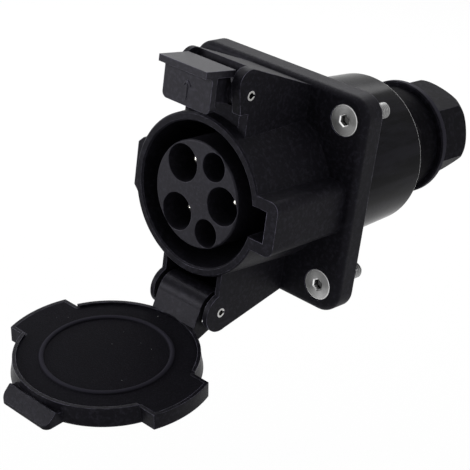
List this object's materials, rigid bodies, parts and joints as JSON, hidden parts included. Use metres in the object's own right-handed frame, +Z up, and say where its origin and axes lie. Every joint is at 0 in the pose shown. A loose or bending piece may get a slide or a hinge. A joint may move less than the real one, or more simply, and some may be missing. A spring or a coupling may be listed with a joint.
{
  "type": "charge port inlet",
  "caption": "Panel-mounted vehicle charging inlet: keyed round socket on a square flange, with a flip lid, a sprung latch, a rear shell and a cable gland.",
  "frame": {"origin": "on the axis of the barrel, in the rear face of the flange that sits on the panel", "axes": "+Y to the back along the barrel's axis, +Z up towards the latch, +X to the right seen from the front"},
  "size_m": [0.0704, 0.1844, 0.0976],
  "materials": {
    "housing_plastic": "fine moulded grain, black",
    "insert_plastic": "fine moulded grain, black",
    "lid_plastic": "fine moulded grain, black",
    "latch_plastic": "fine moulded grain, black",
    "shell_plastic": "glossy black",
    "gland_plastic": "satin black",
    "gasket_rubber": "grained black rubber",
    "seal_rubber": "smooth black rubber",
    "steel": "satin stainless steel",
    "spring_steel": "bright drawn wire",
    "contact_metal": "silver-plated brass"
  },
  "bodies": {
    "housing": {"front_housing": "housing_plastic", "contact_insert": "insert_plastic", "line_contact": "contact_metal", "neutral_contact": "contact_metal", "earth_contact": "contact_metal", "pilot_contact": "contact_metal", "proximity_contact": "contact_metal", "contact_retainer": "insert_plastic", "retainer_screws": "steel", "insert_lock_ring": "insert_plastic", "flange_screws": "steel", "lid_hinge_pin": "steel", "lid_springs": "spring_steel", "latch_pin": "steel", "latch_spring": "spring_steel", "shell_seal": "seal_rubber", "rear_shell": "shell_plastic", "gland_washer": "seal_rubber", "gland_locknut": "gland_plastic", "gland_body": "gland_plastic", "gland_seal": "seal_rubber", "gland_nut": "gland_plastic"},
    "lid": {"lid": "lid_plastic", "lid_gasket": "gasket_rubber"},
    "latch": {"latch": "latch_plastic"}
  },
  "joints": [
    {"name": "lid_hinge", "type": "hinge", "parent": "housing", "child": "lid", "pos_m": [0, -0.035, -0.035], "axis": [-1, 0, 0], "range_deg": [0, 98.9], "stiffness_Nm_per_rad": 0.02, "springref_deg": -20.05, "deforming": ["lid_springs"]},
    {"name": "latch_hinge", "type": "hinge", "parent": "housing", "child": "latch", "pos_m": [0, -0.0345, 0.0345], "axis": [-1, 0, 0], "range_deg": [0, 22], "stiffness_Nm_per_rad": 0.03, "springref_deg": -20.05, "deforming": ["latch_spring"]}
  ]
}
